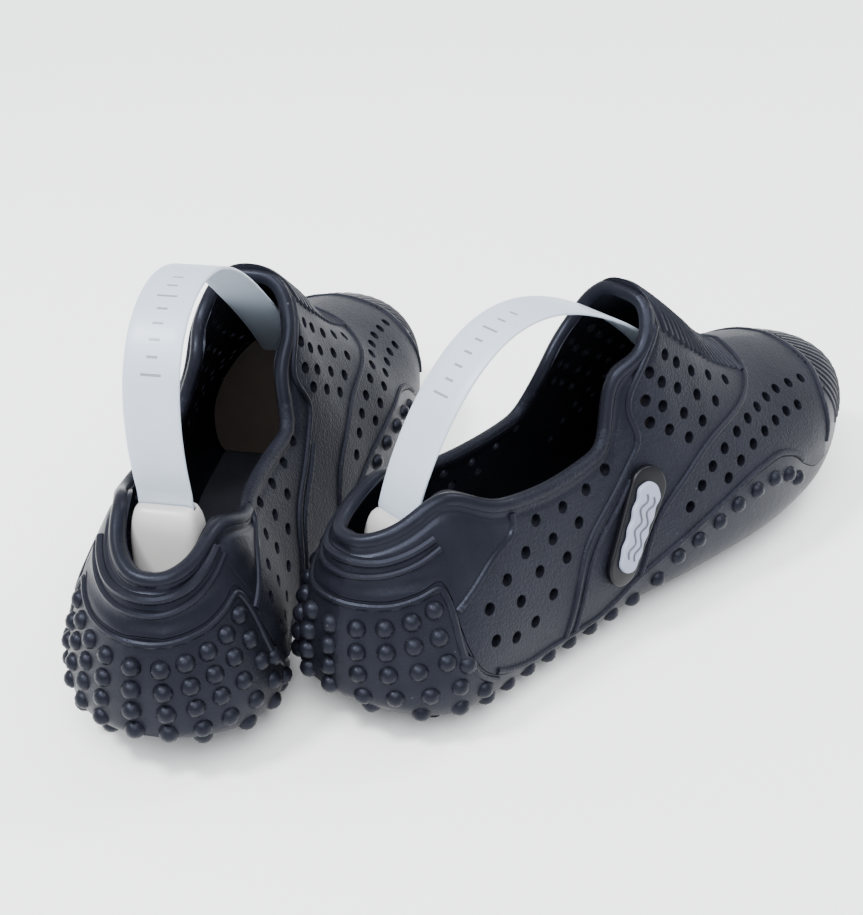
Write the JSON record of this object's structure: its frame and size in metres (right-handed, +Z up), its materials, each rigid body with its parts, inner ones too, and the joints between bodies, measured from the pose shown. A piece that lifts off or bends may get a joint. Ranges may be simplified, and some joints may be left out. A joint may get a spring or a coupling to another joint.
{
  "type": "garden clog pair with shoe trees",
  "caption": "Pair of perforated, studded foam-rubber garden clogs, each stretched by a sprung strap shoe tree with a heel block.",
  "frame": {"origin": "ground under the middle of the pair's box", "axes": "+Z up; the right clog's toe points along -Y and its outer side towards -X; the left clog stands beside it at +X, heels together and toes apart"},
  "size_m": [0.2436, 0.3493, 0.1484],
  "materials": {
    "badge_gloss": "glossy dark plastic",
    "label_grey": "pale lavender-grey inlay, plain wave motif",
    "footbed_foam": "matte foam",
    "rubber_sole": "semi-gloss dark rubber with moulded studs",
    "tree_plastic": "warm light grey satin plastic",
    "pin_steel": "plain zinc-plated rivet",
    "strap_white": "cool white flexible plastic, satin",
    "eva_upper": "satin-matte moulded foam rubber with a fine grain on the perforated panels"
  },
  "bodies": {
    "pair": {"left_badge_base": "badge_gloss", "left_badge_label": "label_grey", "left_footbed": "footbed_foam", "left_outsole": "rubber_sole", "left_tree_strap": "strap_white", "left_tree_toe_form": "tree_plastic", "left_tree_toe_pin": "pin_steel", "left_upper": "eva_upper", "right_badge_base": "badge_gloss", "right_badge_label": "label_grey", "right_footbed": "footbed_foam", "right_outsole": "rubber_sole", "right_tree_strap": "strap_white", "right_tree_toe_form": "tree_plastic", "right_tree_toe_pin": "pin_steel", "right_upper": "eva_upper"},
    "right_heel_stretcher": {"right_tree_heel_block": "tree_plastic", "right_tree_heel_pin": "pin_steel"},
    "left_heel_stretcher": {"left_tree_heel_block": "tree_plastic", "left_tree_heel_pin": "pin_steel"}
  },
  "joints": [
    {"name": "right_tree_release", "type": "slide", "parent": "pair", "child": "right_heel_stretcher", "axis": [0, -0.5736, 0.8192], "range_m": [0, 0.05], "stiffness_N_per_m": 120, "springref_m": -0.01, "deforming": ["right_tree_strap"]},
    {"name": "left_tree_release", "type": "slide", "parent": "pair", "child": "left_heel_stretcher", "axis": [0.3452, -0.4581, 0.8192], "range_m": [0, 0.04], "stiffness_N_per_m": 120, "springref_m": -0.01, "deforming": ["left_tree_strap"]}
  ]
}
